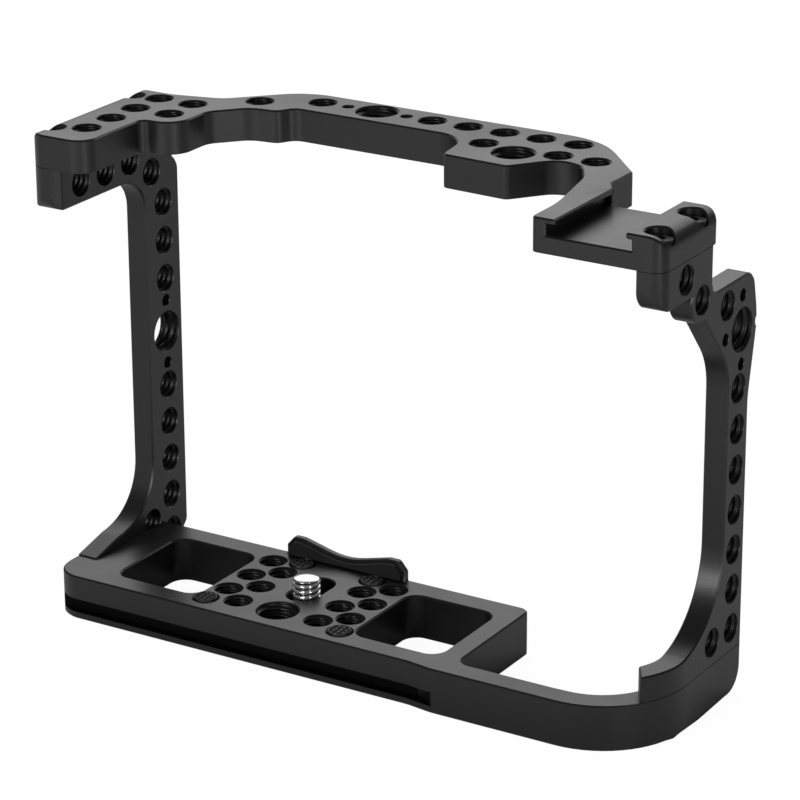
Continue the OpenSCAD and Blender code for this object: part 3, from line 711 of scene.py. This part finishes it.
class CAGE_OT_frame(bpy.types.Operator):
    """Chamfer and finish the four machined pieces"""
    bl_idname = "cage.frame"
    bl_label = "Finish the frame"

    def execute(self, context):
        sizes, finish = context.scene.cage_sizes, context.scene.cage_finish
        material = anodised_aluminium(
            "Blasted black anodised aluminium", finish.anodised, 0.34, 0.28, 0.035)
        for node in ("bottom_plate", "left_side", "right_side", "top_plate"):
            piece = machined(node, sizes)
            finish_piece(piece, "cage", "anodised", material, node)
            if node == "bottom_plate":
                # The grooves' floors and lower walls get painted shade
                mark_grooves(piece, painted_groove_shade("Milled and anodised groove", finish.thread, 0.25))
        return {"FINISHED"}


class CAGE_OT_threads(bpy.types.Operator):
    """Cut the threads of the accessory holes"""
    bl_idname = "cage.threads"
    bl_label = "Cut the threads"

    def execute(self, context):
        finish = context.scene.cage_finish
        # The threads take the darker colour and a weaker sheen: painted shade in the holes
        material = anodised_aluminium("Cut anodised thread", finish.thread, 0.36, 0.1, 0.004, 1.45)
        for i, (node, axis, low, high, small, large, _) in enumerate(HOLES):
            parts = []
            for group, d, pitch in ((small, SMALL_D, SMALL_PITCH), (large, LARGE_D, LARGE_PITCH)):
                points, faces = inner_thread(d, pitch, high - low - 2 * SLEEVE_INSET)
                parts += [(place(points, axis, low + SLEEVE_INSET, a, b), faces) for a, b in group]
            points, faces = joined(parts)
            threads = new_object(f"{node}_threads_{i}", points * MM, faces.tolist())
            finish_piece(threads, "cage", "anodised", material)
        return {"FINISHED"}


class CAGE_OT_camera_screw(bpy.types.Operator):
    """Turn the camera screw with its thread, and finish its washer"""
    bl_idname = "cage.camera_screw"
    bl_label = "Make the camera screw"

    def execute(self, context):
        finish = context.scene.cage_finish
        low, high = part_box("camera_screw")
        head_low, tip = low[2] / MM, high[2] / MM
        axis_y = (low[1] + high[1]) / 2 / MM
        # The screw's thread gets painted shade in its roots; its rounded end is left unshaded
        unshaded_z = tip - SCREW_END[0][1]
        steel = turned_steel("Turned stainless steel", finish.steel, 0.16, 0.9,
                             (axis_y * MM, SHADE_ROOT_R * MM, SHADE_CREST_R * MM, unshaded_z * MM))
        head_r, head_top = (high[0] - low[0]) / 2 / MM, head_low + SCREW_HEAD_H
        head = lathe([(head_r - HEAD_BEVEL, head_low), (head_r, head_low + HEAD_BEVEL),
                      (head_r, head_top - HEAD_TOP_BEVEL), (head_r - HEAD_TOP_BEVEL, head_top),
                      (SCREW_NECK_R, head_top + NECK_STEP), (SCREW_NECK_R, SCREW_NECK_Z)], 64)
        thread = outer_thread(SMALL_D, SMALL_PITCH, SCREW_THREAD_Z, tip - SCREW_THREAD_END)
        end = lathe([(r, tip - depth) for r, depth in SCREW_END], 64)
        rows = np.concatenate([head, thread, end]) + [0, axis_y, 0]
        screw = closed_lathe(rows, "camera_screw_turned")
        finish_piece(screw, "screw", "bare_steel", steel, "camera_screw")
        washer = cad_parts["screw_washer"]
        washer.data.materials.clear()
        washer.data.materials.append(steel)
        return {"FINISHED"}


class CAGE_OT_joint_screws(bpy.types.Operator):
    """Finish the socket screws that hold the frame together"""
    bl_idname = "cage.joint_screws"
    bl_label = "Finish the joint screws"

    def execute(self, context):
        finish = context.scene.cage_finish
        # Black oxide colour, darkened further and dulled as painted shade in the counterbores
        steel = turned_steel("Black oxide steel", finish.black_steel, 0.45, 0.6)
        for name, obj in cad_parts.items():
            if "_screw_" in name:
                obj.data.materials.clear()
                obj.data.materials.append(steel)
        return {"FINISHED"}


class CAGE_OT_pads(bpy.types.Operator):
    """Mould the rubber facing of the lip and the round pads of the seat"""
    bl_idname = "cage.pads"
    bl_label = "Mould the pads"

    def execute(self, context):
        sizes, finish = context.scene.cage_sizes, context.scene.cage_finish
        rubber = moulded_rubber("Moulded rubber", finish.rubber)
        for end in ("near", "far"):
            for side in ("left", "right"):
                name = f"base_pad_{end}_{side}"
                finish_piece(round_pad(name, sizes.tread_h), "cage", "rubber", rubber, name)
        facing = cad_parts["lip_pad"]
        facing.data.materials.clear()
        facing.data.materials.append(rubber)
        return {"FINISHED"}


def round_pad(node, tread_h):
    """A round pad with a moulded tread: over a polar grid its height is the CAD pad's top, less the
    tread's depth in two families of grooves that cross at right angles, and less a rounded edge."""
    low, high = (np.array(corner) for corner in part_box(node))
    centre, radius = (low + high) / 2, PAD_SHARE * (high[0] - low[0]) / 2
    rings, cols = 40, 120
    r = np.concatenate([np.linspace(0.01, 0.93, rings), [0.97, 1.0, 1.0]])[:, None] * radius
    angle = (np.arange(cols) * 2 * np.pi / cols)[None, :]
    x, y = r * np.cos(angle), r * np.sin(angle)
    pitch = TREAD_PITCH * MM
    groove = np.minimum(triangle_wave(x / pitch + 0.25), triangle_wave(y / pitch + 0.25))
    lands = np.clip((groove - GROOVE_SHARE) * GROOVE_RISE, 0, 1)
    inside = np.clip((TREAD_SHARE * radius - r) / (0.05 * radius), 0, 1)
    z = high[2] - tread_h * (1 - lands) * inside
    z[-3] -= PAD_EDGE_START * MM
    z[-2] = high[2] - PAD_EDGE * MM
    z[-1] = low[2]
    rows = np.stack([x + centre[0], y + centre[1], z], -1)
    return closed_lathe(rows[::-1] / MM, node + "_moulded")


class CAGE_OT_studio(bpy.types.Operator):
    """Set the white studio, its lights and the camera"""
    bl_idname = "cage.studio"
    bl_label = "Set the studio"

    def execute(self, context):
        studio = context.scene.cage_studio
        floor_z = (PLATE_LOW - FLOOR_GAP) * MM
        corners = np.array([[x * FLOOR_HALF, y * FLOOR_HALF, floor_z]
                            for x, y in ((-1, -1), (1, -1), (1, 1), (-1, 1))])
        floor = new_object("floor", corners, [[0, 1, 2, 3]], smooth=False)
        floor.data.materials.append(seamless_paper("Pale studio floor", "#f0f0f0"))
        world = context.scene.world or bpy.data.worlds.new("World")
        context.scene.world = world
        world.use_nodes = True
        tree = world.node_tree
        tree.nodes.clear()
        rays = add(tree, "ShaderNodeLightPath")
        level = add(tree, "ShaderNodeMix", {
            0: rays.outputs["Is Camera Ray"], 2: studio.world_level, 3: 1.0})
        light = add(tree, "ShaderNodeBackground", {"Color": (1, 1, 1, 1), "Strength": level.outputs[0]})
        add(tree, "ShaderNodeOutputWorld", {"Surface": light.outputs[0]})
        for name, position, target, size, power in LIGHTS:
            area_light(name, position, target, size, getattr(studio, power))
        set_camera(context.scene, studio)
        context.scene.view_settings.view_transform = "Standard"
        return {"FINISHED"}


def area_light(name, position, target, size, power):
    """A soft rectangular light at a position, facing a target."""
    data = bpy.data.lights.new(name, "AREA")
    data.shape = "RECTANGLE"
    data.size, data.size_y = size
    data.energy = power
    obj = bpy.data.objects.new(name, data)
    obj.location = position
    obj.rotation_euler = (Vector(target) - Vector(position)).to_track_quat("-Z", "Y").to_euler()
    bpy.context.scene.collection.objects.link(obj)


def set_camera(scene, studio):
    """The camera looks along its azimuth and elevation at a point right of and above the seat."""
    az, el = studio.azimuth, studio.elevation
    back = Vector((math.sin(az) * math.cos(el), -math.cos(az) * math.cos(el), math.sin(el)))
    right = Vector((0, 0, 1)).cross(back).normalized()
    up = back.cross(right)
    turned_right = right * math.cos(studio.roll) + up * math.sin(studio.roll)
    turned_up = up * math.cos(studio.roll) - right * math.sin(studio.roll)
    place_of = turned_right * studio.aim_right + turned_up * studio.aim_up + back * studio.distance
    matrix = Matrix((turned_right, turned_up, back)).transposed().to_4x4()
    matrix.translation = place_of
    data = bpy.data.cameras.new("camera")
    data.sensor_width = 36
    data.sensor_fit = "HORIZONTAL"
    data.lens = studio.lens
    data.clip_start = 0.01
    camera = bpy.data.objects.new("camera", data)
    camera.matrix_world = matrix
    scene.collection.objects.link(camera)
    scene.camera = camera


class CAGE_PT_panel(bpy.types.Panel):
    """Steps that finish the cage"""
    bl_idname = "CAGE_PT_panel"
    bl_label = "Camera cage"
    bl_space_type = "VIEW_3D"
    bl_region_type = "UI"
    bl_category = "Cage"

    def draw(self, context):
        scene = context.scene
        for step in STEPS:
            self.layout.operator(step.bl_idname)
        for group in (scene.cage_sizes, scene.cage_finish, scene.cage_studio):
            for name in group.__annotations__:
                self.layout.prop(group, name)


STEPS = (CAGE_OT_studio, CAGE_OT_frame, CAGE_OT_threads, CAGE_OT_camera_screw, CAGE_OT_joint_screws,
         CAGE_OT_pads)
CLASSES = (CageSizes, CageFinish, CageStudio) + STEPS + (CAGE_PT_panel,)


def register():
    for cls in CLASSES:
        bpy.utils.register_class(cls)
    bpy.types.Scene.cage_sizes = bpy.props.PointerProperty(type=CageSizes)
    bpy.types.Scene.cage_finish = bpy.props.PointerProperty(type=CageFinish)
    bpy.types.Scene.cage_studio = bpy.props.PointerProperty(type=CageStudio)


def unregister():
    for name in ("cage_sizes", "cage_finish", "cage_studio"):
        delattr(bpy.types.Scene, name)
    for cls in reversed(CLASSES):
        bpy.utils.unregister_class(cls)


def main():
    register()
    for step in STEPS:
        group, name = step.bl_idname.split(".")
        getattr(getattr(bpy.ops, group), name)()
    bpy.context.view_layer.update()


if __name__ == "__main__":
    main()
